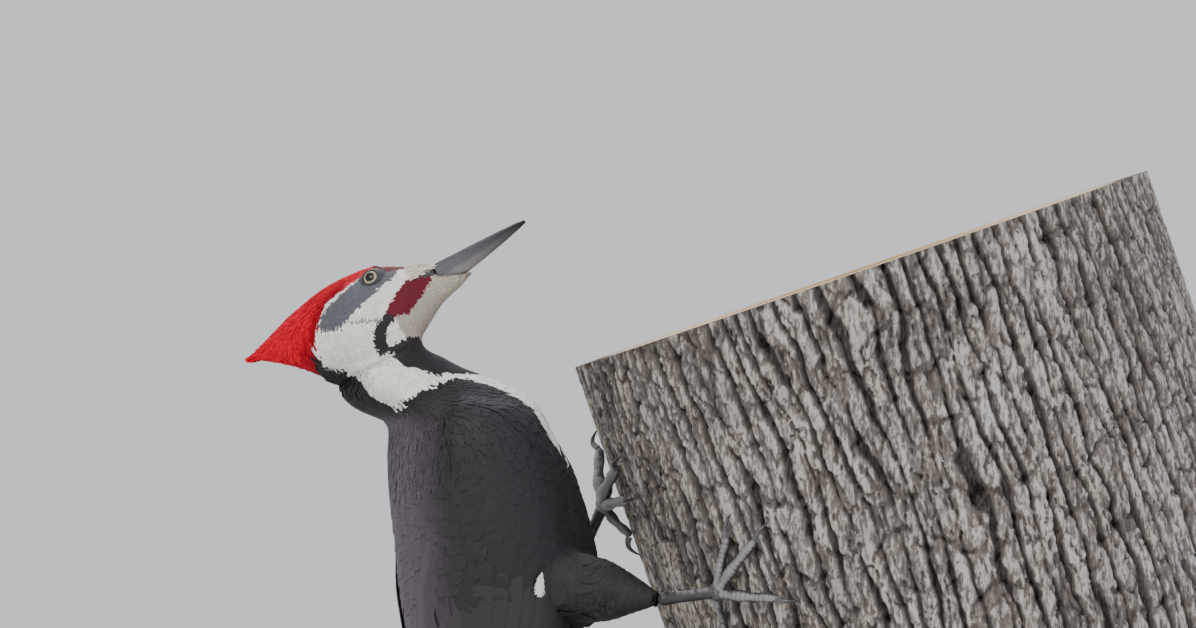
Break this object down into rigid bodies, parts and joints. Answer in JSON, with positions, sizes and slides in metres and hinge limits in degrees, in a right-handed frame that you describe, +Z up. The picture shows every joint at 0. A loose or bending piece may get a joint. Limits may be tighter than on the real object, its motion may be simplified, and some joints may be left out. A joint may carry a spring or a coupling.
{
  "type": "pileated woodpecker",
  "caption": "Adult male pileated woodpecker with crest, chisel bill and propped tail, clinging to a short leaning trunk that stands on rods over a flat base.",
  "frame": {"origin": "middle of the display base's underside", "axes": "+Z up; -X is the side of the trunk that the bird clings to, and the trunk's top leans that way; the bird's right side is towards -Y"},
  "size_m": [0.5348, 0.3, 0.43],
  "materials": {
    "red_plumage": "soft red feathers",
    "white_plumage": "soft white feathers",
    "black_plumage": "slaty black feathers with a faint sheen",
    "bill_horn": "smooth grey horn",
    "eye_yellow": "wet and clear over a pale yellow iris",
    "grey_scutes": "scaly skin",
    "claw_horn": "dark horn",
    "grey_bark": "rough furrowed bark",
    "stand_wood": "dark satin varnish",
    "rod_steel": "satin"
  },
  "bodies": {
    "root": {"crest": "red_plumage", "head": "white_plumage", "neck": "white_plumage", "trunk": "black_plumage", "wing_right": "black_plumage", "wing_left": "black_plumage", "primaries_right": "black_plumage", "primaries_left": "black_plumage", "tail": "black_plumage", "thigh_right": "black_plumage", "thigh_left": "black_plumage", "bill_upper": "bill_horn", "bill_lower": "bill_horn", "eye_right": "eye_yellow", "eye_left": "eye_yellow", "tarsus_right": "grey_scutes", "tarsus_left": "grey_scutes", "foot_right": "grey_scutes", "foot_left": "grey_scutes", "claw_right_inner_front": "claw_horn", "claw_right_outer_front": "claw_horn", "claw_right_outer_rear": "claw_horn", "claw_right_hallux": "claw_horn", "claw_left_inner_front": "claw_horn", "claw_left_outer_front": "claw_horn", "claw_left_outer_rear": "claw_horn", "claw_left_hallux": "claw_horn", "perch_log": "grey_bark", "stand_base": "stand_wood", "stand_rod_left": "rod_steel", "stand_rod_right": "rod_steel"}
  },
  "joints": []
}
